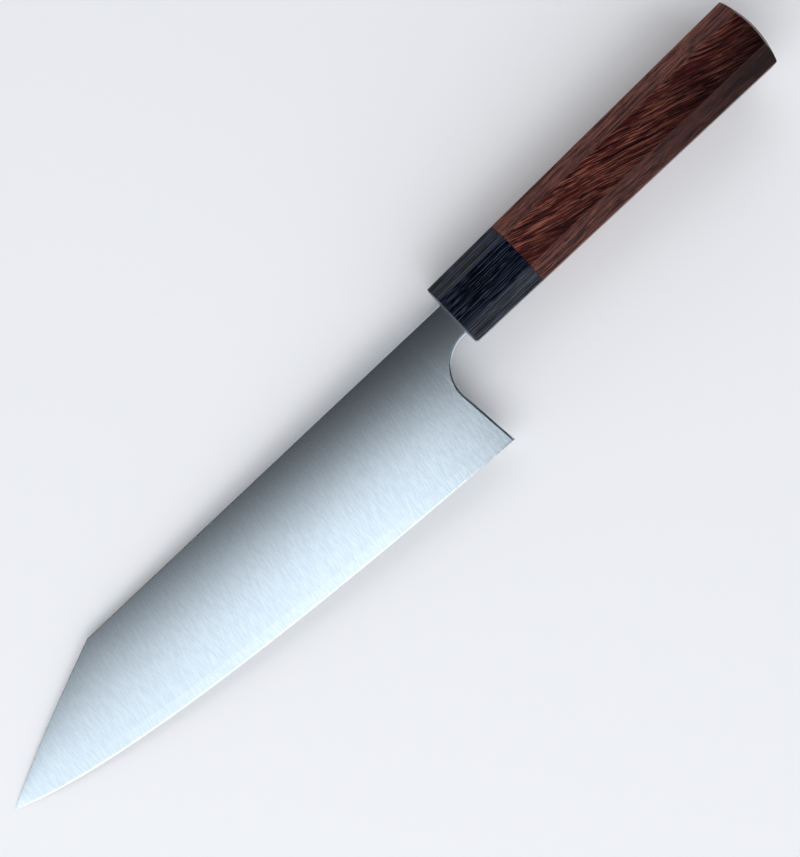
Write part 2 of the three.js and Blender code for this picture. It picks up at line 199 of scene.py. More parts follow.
class Finishes(bpy.types.PropertyGroup):
    cladding: colour("Cladding", "#c1cbd1", "Satin stainless steel of the blade's outer layers")
    cladding_dark: colour("Cladding hairlines", "#b8c2c9", "Hairlines of the belt in the cladding")
    core: colour("Core", "#c3cdd3", "Hard steel along the edge")
    core_dark: colour("Core hairlines", "#bac4cb", "Hairlines of the stone in the core")
    bevel: colour("Bevel", "#dce2e1", "Freshly honed steel of the edge bevel")
    ebony: colour("Ebony", "#03040a", "Heartwood of the ferrule")
    ebony_line: colour("Ebony fibres", "#3d4358", "Paler fibres in the ferrule")
    # Partly painted sheen: the strips follow the grain, and their greyer tone stands for the shine of the
    # side flats
    ebony_side_and_sheen: colour("Ebony sides", "#434449", "Greyer strips on the ferrule's other flats")
    rosewood: colour("Rosewood", "#431b1a", "Ground colour of the wide flats")
    # Partly painted sheen: the paler ground of the other flats stands in part for the shine they take from
    # the room
    rosewood_side_and_sheen: colour("Rosewood sides", "#613a34", "Ground colour of the other flats")
    rosewood_dark: colour("Rosewood streaks", "#1b0a0d", "Dark growth streaks in the handle")
    rosewood_light: colour("Rosewood fibres", "#945a49", "Paler fibres in the handle")
    rosewood_pore: colour("Rosewood pores", "#0e0506", "Open pores of the handle")
    dowel: colour("Dowel", "#c9a877", "Magnolia wood of the hidden dowel")
    dowel_line: colour("Dowel grain", "#a98455", "Grain of the hidden dowel")
    epoxy: colour("Epoxy", "#cfc4a4", "Glue that beds the tang")
    sealant: colour("Sealant", "#4c5157", "Bead round the neck")


class StageSizes(bpy.types.PropertyGroup):
    camera_distance: length("Camera distance", 507.0, "From the camera to the floor along its axis")
    camera_tilt: angle("Camera tilt", 1.593, "Lean of the camera to the edge side of straight above")
    heading: angle("Heading", -136.393, "Turn of the knife in the picture, from the picture's right")
    aim_x: offset("Aim X", -4.64, "Where the camera aims on the floor, along the knife")
    aim_y: offset("Aim Y", -0.48, "Where the camera aims on the floor, across the knife")
    focal_pixels: setting("Focal length", 1500.0, "In pixels of the picture", min=1.0, subtype="PIXEL")
    picture_height: setting("Picture height", 857.0, "In pixels", min=1.0, subtype="PIXEL")
    floor_size: length("Floor size", 6000.0, "Side of the floor")
    floor: colour("Floor", "#f4f3f1", "Plain matt floor")
    lamp_height: length("Lamp height", 1500.0, "Height of the soft lamp over the floor")
    lamp_width: length("Lamp width", 2400.0, "Size of the soft lamp along the knife")
    lamp_depth: length("Lamp depth", 2400.0, "Size of the soft lamp across the knife")
    lamp_soft: length("Lamp soft edge", 198.0, "Width over which the lamp fades in above the knife")
    lamp_x: offset("Lamp X", 18.0, "Where the lamp starts, along the knife")
    lamp_y: offset("Lamp Y", 34.0, "Middle of the lamp's soft edge, across the knife")
    lamp_turn: angle("Lamp turn", 8.7, "Turn of the lamp's near edge away from the knife")
    lamp_glow: setting("Lamp glow", 1.95, "Brightness of the lamp, 1 being white", min=0.0)
    lamp_colour: colour("Lamp colour", "#f4f9ff", "Tint of the soft lamp")
    room_glow: setting("Room glow", 1.7, "Brightness of the room and its windows", min=0.0)
    daylight: colour("Daylight", "#f6f8ff", "Light of the three windows")
    window_turn: angle("Window direction", 40.0, "Turn of the broad window, from the point to the edge")
    skylight_turn: angle("Skylight direction", 102.0, "Turn of the high window beside the edge")
    skylight_rise: angle("Skylight height", 38.0, "Height of that window over the floor")
    gleam_turn: angle("Gleam direction", 235.0, "Turn of the high window behind the spine")
    gleam_rise: angle("Gleam height", 40.0, "Height of that window over the floor")
    room_shade: colour("Room's shade", "#26272a", "Light of the upper walls between the windows")
    room_low: colour("Lower walls", "#8a8d92", "Light of the pale lower walls")
    room_high: colour("Room overhead", "#121314", "Light of the room from straight above")
    backdrop: colour("Backdrop", "#e9e8e6", "What the camera sees past the floor")


# Placing

def lerp(a, b, part):
    return a + (b - a) * part


def smooth(part):
    """An even rise from 0 to 1 that starts and ends level."""
    return part * part * (3 - 2 * part)


def knife_placement(blade, handle):
    """Lays the knife's own frame down on the solids: on the ferrule's lower front edge and on the point."""
    half_front = handle.front_thickness / 2 * lerp(
        1, handle.butt_thickness / handle.front_thickness, handle.front_ease / handle.length
    )
    pitch = math.atan2(half_front, blade.tip_reach + handle.front_ease)
    tip = max((v.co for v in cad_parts["blade_core"].data.vertices), key=lambda co: co.x)
    own_tip = Vector((blade.tip_reach, blade.tip_drop, 0.0))
    return Matrix.Translation(tip) @ Matrix.Rotation(pitch, 4, "Y") @ Matrix.Translation(-own_tip)


def add_piece(scene, name, vertices, faces, node, material):
    """A mesh piece in the knife's own frame that stands for a solid and rides with the knife."""
    mesh = bpy.data.meshes.new(name)
    mesh.from_pydata(vertices, [], faces)
    if mesh.validate():
        raise RuntimeError(f"{name} has faces that don't hold together")
    mesh.transform(knife_placement(scene.gyuto_blade, scene.gyuto_handle))
    mesh.materials.append(material)
    piece = bpy.data.objects.new(name, mesh)
    scene.collection.objects.link(piece)
    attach(piece, BODY)
    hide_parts(node)
    return piece


def shade(piece, sharp_degrees):
    """Smooth shading that breaks at sharp edges and keeps broad faces flat."""
    piece.data.shade_smooth()
    piece.data.set_sharp_from_angle(angle=math.radians(sharp_degrees))
    weighted = piece.modifiers.new("Flat faces stay flat", "WEIGHTED_NORMAL")
    weighted.keep_sharp = True
    weighted.weight = BROAD_FACES


# Blade outline and section

class Path:
    """A run of points that is walked by share of its length."""

    def __init__(self, points):
        self.points = points
        self.reach = [0.0]
        for a, b in zip(points, points[1:]):
            self.reach.append(self.reach[-1] + (b - a).length)
        self.length = self.reach[-1]

    def at(self, part):
        distance = part * self.length
        i = min(max(bisect.bisect_right(self.reach, distance) - 1, 0), len(self.points) - 2)
        step = self.reach[i + 1] - self.reach[i]
        return self.points[i].lerp(self.points[i + 1], (distance - self.reach[i]) / step)


class BladeOutline:
    """The blade seen from its left face."""

    def __init__(self, blade):
        self.blade = blade
        self.rise = math.tan(blade.spine_rise)
        self.lean = math.tan(blade.heel_lean)
        self.underside = blade.neck_height - blade.spine_offset
        self.choil = Vector((blade.neck_reach, self.underside + blade.choil_radius))
        self.heel_line = self.choil.x + blade.choil_radius / math.cos(blade.heel_lean)
        self.choil_end = self.choil + blade.choil_radius * Vector(
            (math.cos(blade.heel_lean), math.sin(blade.heel_lean))
        )
        heel_y = blade.height - blade.spine_offset
        self.heel = Vector((self.heel_x(heel_y), heel_y))
        top_x = (self.heel_x(0.0) + blade.spine_offset * self.lean) / (1 - self.rise * self.lean)
        self.heel_top = Vector((top_x, self.spine_y(top_x)))
        corner_x = blade.tip_reach - blade.front_run
        self.corner = Vector((corner_x, self.spine_y(corner_x)))
        self.tip = Vector((blade.tip_reach, blade.tip_drop))
        self.edge = Path(self.edge_curve())
        self.top = Path([self.heel_top] + self.front_curve())
        self.corner_share = (self.corner - self.heel_top).length / self.top.length

    def spine_y(self, x):
        return -self.blade.spine_offset - x * self.rise

    def heel_x(self, y):
        return self.heel_line - (y - self.choil.y) * self.lean

    def edge_curve(self):
        """The edge from the heel, where it is nearly straight, up to the point."""
        leave = Vector((math.cos(self.blade.edge_heel_turn), -math.sin(self.blade.edge_heel_turn)))
        arrive = Vector((-math.cos(self.blade.edge_tip_turn), math.sin(self.blade.edge_tip_turn)))
        return interpolate_bezier(
            self.heel,
            self.heel + self.blade.edge_heel_pull * leave,
            self.tip + self.blade.edge_tip_pull * arrive,
            self.tip,
            CURVE_STEPS,
        )

    def front_curve(self):
        """The front slope: one shallow arc over its crest, written as a cubic curve."""
        chord = self.tip - self.corner
        out = Vector((chord.y, -chord.x)).normalized()
        crest = (self.corner + self.tip) / 2 + 2 * self.blade.front_bulge * out
        return interpolate_bezier(
            self.corner, self.corner.lerp(crest, 2 / 3), self.tip.lerp(crest, 2 / 3), self.tip, CURVE_STEPS
        )

    def rim_distance(self, point):
        """How far a point lies from the neck's underside, the choil and the heel's face."""
        if point.x < self.choil.x:
            return self.underside - point.y
        if point.y < self.choil_end.y:
            return (point - self.choil).length - self.blade.choil_radius
        return (point.x - self.heel_x(point.y)) * math.cos(self.blade.heel_lean)


def rounding(distance, radius):
    """How far a rounded corner drops at a distance from its rim."""
    if distance >= radius:
        return 0.0
    inward = radius - max(distance, 0.0)
    return radius - math.sqrt(radius * radius - inward * inward)


class BladeGrid:
    """Points over the blade in columns from the spine to the edge, with the half thickness of the whole
    blade and of its core at each point. Row zones run from line to line: spine, foot of its rounding,
    end of the choil, cladding line, bevel shoulder and edge."""

    def __init__(self, blade, tang_reach):
        self.blade = blade
        self.tang_reach = tang_reach
        self.outline = BladeOutline(blade)
        self.points = []
        self.half_blade = []
        self.half_core = []
        self.point_rows = []
        self.rows = self.row_places()
        self.choil_row = sum(ROW_COUNTS[:LOWER_FACE])
        self.cladding_row = sum(ROW_COUNTS[:CORE_STRIP])
        self.shoulder_row = sum(ROW_COUNTS[:BEVEL])
        self.edge_row = sum(ROW_COUNTS)
        outline = self.outline
        upper = (outline.choil_end - outline.heel_top).length - blade.spine_ease
        whole = (outline.heel - outline.heel_top).length - blade.cladding_line - blade.spine_ease
        self.choil_share = upper / whole
        self.blade_columns = [self.blade_column(part) for part in self.column_shares()]
        self.apex = self.add_point(outline.tip, 0.0, 0.0, self.edge_row)
        self.heel_depth = self.spine_distance(self.points[self.blade_columns[0][self.cladding_row]])
        self.neck_columns = self.neck_and_tang()

    def row_places(self):
        """Each row's zone and its share of the way across. Rows crowd towards spine and choil."""
        rows = []
        for zone, count in enumerate(ROW_COUNTS):
            for i in range(count):
                part = i / count
                rows.append((zone, (1 - math.cos(math.pi * part)) / 2 if zone == UPPER_FACE else part))
        rows.append((BEVEL, 1.0))
        return rows

    def column_shares(self):
        """Shares of the way from heel to point. Columns crowd towards the heel's rounded rim."""
        corner = self.outline.corner_share
        shares = [corner * (i / SPINE_COLUMNS) ** 2 for i in range(SPINE_COLUMNS)]
        return shares + [lerp(corner, 1.0, i / FRONT_COLUMNS) for i in range(FRONT_COLUMNS)]

    def add_point(self, position, half_blade, half_core, row):
        self.points.append(position)
        self.half_blade.append(half_blade)
        self.half_core.append(half_core)
        self.point_rows.append(row)
        return len(self.points) - 1

    def spine_distance(self, position):
        return position.y - self.outline.spine_y(position.x)

    @staticmethod
    def ground(spine, core, depth):
        """Half thickness of the ground face, from the spine's to the core's at the cladding line."""
        return core + (spine / 2 - core) * (1 - depth * depth)

    def rim_drop(self, position, room):
        """Drop of the rounding along the choil and heel, within the room that the layer has."""
        return min(rounding(self.outline.rim_distance(position), self.blade.choil_ease), RIM_SHARE * room)

    def blade_column(self, part):
        """A column from the spine to the edge, at a share of the way from heel to point."""
        blade, outline = self.blade, self.outline
        top = outline.top.at(part)
        bottom = outline.edge.at(part)
        along_front = max(0.0, (part - outline.corner_share) / (1 - outline.corner_share))
        along_spine = min(1.0, part / outline.corner_share)
        spine = lerp(blade.heel_thickness, blade.corner_thickness, along_spine)
        spine = lerp(spine, blade.point_thickness, along_front)
        core = lerp(blade.core_thickness, blade.point_core, along_front) / 2
        swell = spine / 2 - core
        depth_all = (bottom - top).length
        fade = min(1.0, depth_all / blade.point_fade)
        ease = min(blade.spine_ease * fade, swell / 2)
        wave = noise.noise(Vector((top.x / blade.wave_length, WAVE_PLACE, WAVE_PLACE)))
        cladding = depth_all - (blade.cladding_line + blade.cladding_wave * wave) * fade
        shoulder = depth_all - blade.bevel_height * fade
        bevel = min(blade.bevel_thickness / 2, core / 2)
        taper = min(1.0, (1 - along_front) / blade.point_taper)
        lines = (0.0, ease, lerp(ease, cladding, self.choil_share), cladding, shoulder, depth_all)
        column = []
        for row, (zone, across) in enumerate(self.rows):
            depth = lerp(lines[zone], lines[zone + 1], across)
            position = top.lerp(bottom, depth / depth_all)
            if zone < CORE_STRIP:
                plain = self.ground(spine, core, depth / cladding)
                drop = max(rounding(depth, ease), self.rim_drop(position, plain - core))
                column.append(self.add_point(position, (plain - drop) * taper, core * taper, row))
            else:
                plain = lerp(core, bevel, across) if zone == CORE_STRIP else lerp(bevel, 0.0, across)
                half = (plain - self.rim_drop(position, plain / 2)) * taper
                column.append(self.add_point(position, half, half, row))
        return column

    def neck_column(self, top, bottom, thickness):
        """A column of the neck or the tang, whose faces run on from the blade's ground faces."""
        column = []
        depth_all = (bottom - top).length
        core = self.blade.core_thickness / 2
        ease = min(self.blade.spine_ease, (thickness / 2 - core) / 2)
        lines = (0.0, ease, depth_all, depth_all)
        for row, (zone, across) in enumerate(self.rows[:self.choil_row + 1]):
            depth = lerp(lines[zone], lines[zone + 1], across)
            position = top.lerp(bottom, depth / depth_all)
            plain = self.ground(thickness, core, self.spine_distance(position) / self.heel_depth)
            drop = max(rounding(depth, ease), self.rim_drop(position, plain - core))
            column.append(self.add_point(position, plain - drop, core, row))
        return column

    def neck_and_tang(self):
        """Columns from the heel back along the choil, the neck and the tang to its end."""
        blade, outline = self.blade, self.outline
        columns = [self.blade_columns[0]]
        for i in range(1, CHOIL_COLUMNS + 1):
            part = i / CHOIL_COLUMNS
            turn = lerp(blade.heel_lean, -math.pi / 2, part)
            x = lerp(outline.heel_top.x, blade.neck_reach, part)
            rim = outline.choil + blade.choil_radius * Vector((math.cos(turn), math.sin(turn)))
            top = Vector((x, outline.spine_y(x)))
            thickness = lerp(blade.heel_thickness, blade.neck_thickness, part)
            columns.append(self.neck_column(top, rim, thickness))
        for i in range(1, NECK_COLUMNS + 1):
            x = lerp(blade.neck_reach, -blade.neck_seat, i / NECK_COLUMNS)
            top = Vector((x, outline.spine_y(x)))
            columns.append(self.neck_column(top, Vector((x, outline.underside)), blade.neck_thickness))
        tang = (
            (-blade.neck_seat - blade.shoulder, blade.tang_height, blade.neck_thickness),
            (-self.tang_reach, blade.tang_end_height, blade.tang_end_thickness),
        )
        for x, height, thickness in tang:
            columns.append(self.neck_column(Vector((x, -height / 2)), Vector((x, height / 2)), thickness))
        return columns

    def cells(self, last_row):
        """The grid's cells down to a row, counter-clockwise seen from above."""
        cells = []
        runs = [(self.blade_columns, last_row), (self.neck_columns[::-1], self.choil_row)]
        for columns, last in runs:
            for a, b in zip(columns, columns[1:]):
                for row in range(min(last, last_row)):
                    cells.append((a[row], b[row], b[row + 1], a[row + 1]))
        end = self.blade_columns[-1]
        for row in range(last_row):
            cells.append((end[row], self.apex, end[row + 1]))
        return cells

    def plate(self, last_row, under, over):
        """A closed body between two heights over the cells down to a row: vertices, faces, vertices' rows."""
        vertices = []
        vertex_rows = []
        faces = []
        upper = {}
        lower = {}
        rims = {}
        for cell in self.cells(last_row):
            for i in cell:
                if i in upper:
                    continue
                upper[i] = lower[i] = len(vertices)
                vertices.append((*self.points[i], over[i]))
                if over[i] > under[i]:
                    lower[i] = len(vertices)
                    vertices.append((*self.points[i], under[i]))
                vertex_rows += [self.point_rows[i]] * (len(vertices) - len(vertex_rows))
            faces.append([upper[i] for i in cell])
            faces.append([lower[i] for i in reversed(cell)])
            for a, b in zip(cell, cell[1:] + cell[:1]):
                if (b, a) in rims:
                    del rims[b, a]
                else:
                    rims[a, b] = True
        for a, b in rims:
            wall = list(dict.fromkeys((lower[a], lower[b], upper[b], upper[a])))
            if len(wall) > 2:
                faces.append(wall)
        return vertices, faces, vertex_rows


def add_hairline_map(piece):
    """A flat map of the blade whose first direction runs along the blade, for the drawn-out reflections."""
    layer = piece.data.uv_layers.new(name=HAIRLINE_UV)
    for loop in piece.data.loops:
        x, y, z = piece.data.vertices[loop.vertex_index].co
        layer.data[loop.index].uv = (x + z / 2, y + z)


# Handle sections

def tang_end(handle):
    return handle.length - handle.butt_solid - handle.dowel_overrun


def dowel_radius():
    low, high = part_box("tang_dowel")
    return (high.y - low.y) / 2


def octagon(handle, behind, inset=0.0):
    """The handle's eight-sided section at a distance behind the front face: points with their edge wear."""
    along = behind / handle.length
    growth = (
        lerp(1, handle.butt_width / handle.front_width, along),
        lerp(1, handle.butt_thickness / handle.front_thickness, along),
    )
    inset += handle.sanding
    y = handle.front_width / 2 - inset
    z = handle.front_thickness / 2 - inset
    # An inset draws the slanted facets in as far as the flats
    cut = handle.facet_cut - inset * (2 - math.sqrt(2))
    corners = [Vector((y, z - cut)), Vector((y - cut, z)), Vector((cut - y, z)), Vector((-y, z - cut))]
    corners += [-corner for corner in corners]
    points = []
    wear = []
    for i, corner in enumerate(corners):
        before = (corners[i - 1] - corner).normalized() * handle.long_edge_ease
        after = (corners[(i + 1) % len(corners)] - corner).normalized() * handle.long_edge_ease
        for k in range(CORNER_STEPS + 1):
            part = k / CORNER_STEPS
            points.append(corner + before * (1 - part) ** 2 + after * part ** 2)
            wear.append(4 * part * (1 - part))
        start = corner + after
        stop = corners[(i + 1) % len(corners)]
        stop = stop + (corner - stop).normalized() * handle.long_edge_ease
        for k in range(1, FACET_STEPS):
            points.append(start.lerp(stop, k / FACET_STEPS))
            wear.append(0.0)
    ring = [Vector((-behind, p.x * growth[0], p.y * growth[1])) for p in points]
    return ring, wear


def circle(behind, radius, outer):
    """A round section with one point inside each point of an outer section."""
    return [Vector((-behind, *(Vector((p.y, p.z)).normalized() * radius))) for p in outer]


def block(behind, low, high, half_thickness, outer):
    """A four-sided section with a point inside each point of an outer section, four at its corners."""
    middle = (low + high) / 2
    half = (high - low) / 2
    ring = []
    for p in outer:
        reach = max(abs(p.y - middle) / half, abs(p.z) / half_thickness)
        ring.append(Vector((-behind, middle + (p.y - middle) / reach, p.z / reach)))
    for y in (low, high):
        for z in (-half_thickness, half_thickness):
            corner = Vector((-behind, y, z))
            nearest = min(range(len(ring)), key=lambda i: (ring[i] - corner).length)
            ring[nearest] = corner
    return ring


def loft(rings, closed=False):
    """A skin through rings of points. A ring of one point closes an end; a closed loft joins its ends."""
    vertices = [p for ring in rings for p in ring]
    starts = [0]
    for ring in rings:
        starts.append(starts[-1] + len(ring))
    spans = [(i, i + 1) for i in range(len(rings) - 1)]
    if closed:
        spans.append((len(rings) - 1, 0))
    faces = []
    for r, s in spans:
        count = max(len(rings[r]), len(rings[s]))
        for i in range(count):
            j = (i + 1) % count
            corners = [(r, i), (r, j), (s, j), (s, i)]
            face = [starts[ring] + min(k, len(rings[ring]) - 1) for ring, k in corners]
            faces.append(list(dict.fromkeys(face)))
    return vertices, faces


def set_wear(piece, wear):
    """Edge wear at each vertex: 1 where hands and sanding have rounded an edge."""
    attribute = piece.data.attributes.new(WEAR, "FLOAT", "POINT")
    attribute.data.foreach_set("value", wear)


def neck_room(blade, allowance):
    """Height and half thickness of the room round the neck, grown by an allowance."""
    low = -blade.spine_offset - allowance
    high = blade.neck_height - blade.spine_offset + allowance
    return low, high, blade.neck_thickness / 2 + allowance


# Materials

# Hairlines on the steel: each run's turn from straight across the blade in degrees, its lines' width and
# length, the levels of the runs' sum between which the steel brightens, and the change of roughness
HAIRLINES = (
    (-12, 0.28 * MM, 2.2 * MM),
    (-9, 0.36 * MM, 3.0 * MM),
    (5, 0.28 * MM, 2.5 * MM),
)
HAIRLINE_LEVELS = (1.0, 2.0)
HAIRLINE_GLOSS = 0.005

# Layers of wood grain: length along the fibres, width, depth, the levels of noise between which they rise,
# and the most that they cover
Grain = namedtuple("Grain", "along across deep begin full cover", defaults=(1.0,))
EBONY_FLECKS = Grain(7 * MM, 0.26 * MM, 0.6 * MM, 0.56, 0.69)
EBONY_LINES = Grain(30 * MM, 0.3 * MM, 0.5 * MM, 0.53, 0.68, 0.75)
EBONY_STRIPS = Grain(45 * MM, 0.34 * MM, 0.34 * MM, 0.51, 0.63)
ROSEWOOD_PATCHES = Grain(24 * MM, 4 * MM, 4 * MM, 0.4, 0.6)
ROSEWOOD_STREAKS = Grain(20 * MM, 1.2 * MM, 1.2 * MM, 0.48, 0.57, 0.95)
ROSEWOOD_BANDS = Grain(14 * MM, 0.4 * MM, 0.4 * MM, 0.55, 0.64, 0.8)
ROSEWOOD_THREADS = Grain(7 * MM, 0.32 * MM, 0.32 * MM, 0.53, 0.62)
ROSEWOOD_PORES = Grain(6 * MM, 0.4 * MM, 0.4 * MM, 0.55, 0.64)

# The rosewood's grain: its sway, its slant on the wide flats in degrees, how much further it runs into the
# wood there, and how strong it is on the other flats, where it is weaker partly as painted sheen
SWAY_LENGTH = 22 * MM
SWAY = 2.5 * MM
SLANT = -16
SLANT_DEPTH = 60
QUIET_GRAIN_UNDER_SHEEN = 0.85

# Darkening of the rosewood towards the butt and the edge side of the upper face: how fast it grows along,
# across and up the handle, where on that scale it starts and ends, and the most that it covers
DARKENING_TREND = (-1.0, 6.7, 7.3)
DARKENING_START = 103 * MM
DARKENING_END = 253 * MM
DARKENING_COVER = 0.9

# How level a face is at the edge of the wide flats and well inside them
WIDE_FLAT = (0.82, 0.94)

# Grain and clouds of the plain surfaces: size along the handle, across and deep, and change of roughness
DOWEL_GRAIN = (12 * MM, 0.8 * MM, 0.8 * MM)
EPOXY_CLOUD = (4 * MM, 2 * MM, 2 * MM)
SEALANT_CLOUD = (MM, MM, MM)
BOARD_CLOUD = 40 * MM
CLOUD_GLOSS = 0.1


def add_node(tree, kind, inputs=None, output=0, **settings):
    """Adds a shader node with its settings, fills its sockets with values or links, and gives an output."""
    node = tree.nodes.new("ShaderNode" + kind)
    for name, value in settings.items():
        setattr(node, name, value)
    for socket, value in (inputs or {}).items():
        if isinstance(value, bpy.types.NodeSocket):
            tree.links.new(value, node.inputs[socket])
        else:
            node.inputs[socket].default_value = value
    return node.outputs[output] if node.outputs else None


def new_material(name):
    """An empty material and the knife's own coordinates in it."""
    material = bpy.data.materials.new(name)
    material.use_nodes = True
    tree = material.node_tree
    tree.nodes.clear()
    scene = bpy.context.scene
    placement = knife_placement(scene.gyuto_blade, scene.gyuto_handle)
    place = add_node(tree, "Mapping", {
        "Vector": add_node(tree, "TexCoord", output="Object"),
        "Location": placement.translation,
        "Rotation": placement.to_euler(),
    }, vector_type="TEXTURE")
    return material, tree, place


def surfaced(material, sockets):
    """Gives a material its surface."""
    shader = add_node(material.node_tree, "BsdfPrincipled", sockets)
    add_node(material.node_tree, "OutputMaterial", {"Surface": shader})
    return material


def paint(tree, tone, coats):
    """Lays tints over a tone one after the other, each where its cover says."""
    for cover, tint in coats:
        coat = {MIX_FACTOR: cover, MIX_A: tone, MIX_B: tint}
        tone = add_node(tree, "Mix", coat, MIX_RESULT, data_type="RGBA")
    return tone


def grain_layer(tree, place, grain):
    """Where a noise that is drawn out along the fibres stands out."""
    size = (grain.along, grain.across, grain.deep)
    fibres = add_node(tree, "Mapping", {"Vector": place, "Scale": size}, vector_type="TEXTURE")
    lines = add_node(
        tree, "TexNoise", {"Vector": fibres, "Scale": 1.0, "Detail": 2.5, "Roughness": 0.6}, "Fac"
    )
    levels = {"Value": lines, "From Min": grain.begin, "From Max": grain.full, "To Max": grain.cover}
    return add_node(tree, "MapRange", levels)


def rubbed_edges(tree, most):
    """Where hands and sanding have rubbed the edges."""
    wear = add_node(tree, "Attribute", output="Fac", attribute_name=WEAR)
    return add_node(tree, "Math", {0: wear, 1: most}, operation="MULTIPLY")


def wide_flats(tree):
    """One on the handle's two wide flats, nothing on its other sides."""
    begin, full = WIDE_FLAT
    normal = add_node(tree, "TexCoord", output="Normal")
    upright = add_node(tree, "SeparateXYZ", {"Vector": normal}, "Z")
    level = add_node(tree, "Math", {0: upright}, operation="ABSOLUTE")
    return add_node(tree, "MapRange", {"Value": level, "From Min": begin, "From Max": full})


def satin_steel(name, ground, hairline, roughness, anisotropy):
    # Stainless steel ground across the blade on a fine belt, then rubbed satin. The eye sees a cool grey
    # that takes the light of the room as a soft slope from spine to edge, drawn out along the blade, with
    # hairlines that cross it in runs a few degrees apart. The belt's lines are about 0.05 mm wide and are
    # drawn about 0.3 mm wide to show.
    material, tree, place = new_material(name)
    lines = 0.0
    for degrees, wide, long in HAIRLINES:
        turned = {"Vector": place, "Rotation": (0, 0, math.radians(degrees)), "Scale": (wide, long, MM)}
        run = add_node(tree, "Mapping", turned, vector_type="TEXTURE")
        hair = add_node(tree, "TexVoronoi", {"Vector": run, "Scale": 1.0}, "Color", voronoi_dimensions="2D")
        lines = add_node(tree, "Math", {0: hair, 1: lines}, operation="ADD")
    begin, full = HAIRLINE_LEVELS
    bright = add_node(tree, "MapRange", {"Value": lines, "From Min": begin, "From Max": full})
    gloss = {"Value": bright, "To Min": roughness + HAIRLINE_GLOSS, "To Max": roughness - HAIRLINE_GLOSS}
    return surfaced(material, {
        "Base Color": paint(tree, hairline, [(bright, ground)]),
        "Metallic": 1.0,
        "Roughness": add_node(tree, "MapRange", gloss),
        "Anisotropic": anisotropy,
        "Tangent": add_node(tree, "Tangent", direction_type="UV_MAP", uv_map=HAIRLINE_UV),
        "Normal": add_node(tree, "Bump", {"Height": lines, "Strength": 0.015, "Distance": 0.01 * MM}),
    })


def oiled_ebony(finishes):
    # Ebony heartwood, planed, sanded fine and oiled. The eye sees a blue black, with short paler flecks and
    # long thin lines along the handle. The flats beside the wide ones show long strips of grain in a greyer
    # tone, and that grey is painted sheen, the soft shine those flats take from the room. The edges are
    # rubbed a little brighter. The fibres are about 0.1 mm wide and are drawn 0.3 mm wide to show.
    material, tree, place = new_material("oiled_ebony_sanded")
    flecks, lines, strips = (
        grain_layer(tree, place, grain) for grain in (EBONY_FLECKS, EBONY_LINES, EBONY_STRIPS)
    )
    other_flats = add_node(tree, "Math", {0: 1.0, 1: wide_flats(tree)}, operation="SUBTRACT")
    tone = paint(tree, finishes.ebony, (
        (lines, finishes.ebony_line),
        # Painted sheen over the grain: greyer strips on the flats beside the wide ones
        (add_node(tree, "Math", {0: strips, 1: other_flats}, operation="MULTIPLY"), finishes.ebony_side_and_sheen),
        (flecks, finishes.ebony_line),
        (rubbed_edges(tree, most=0.15), finishes.ebony_line),
    ))
    return surfaced(material, {
        "Base Color": tone,
        "Roughness": add_node(tree, "MapRange", {"Value": flecks, "To Min": 0.22, "To Max": 0.3}),
        "IOR": 1.5,
        "Specular IOR Level": 0.11,
        "Normal": add_node(tree, "Bump", {"Height": lines, "Strength": 0.2, "Distance": 0.02 * MM}),
    })


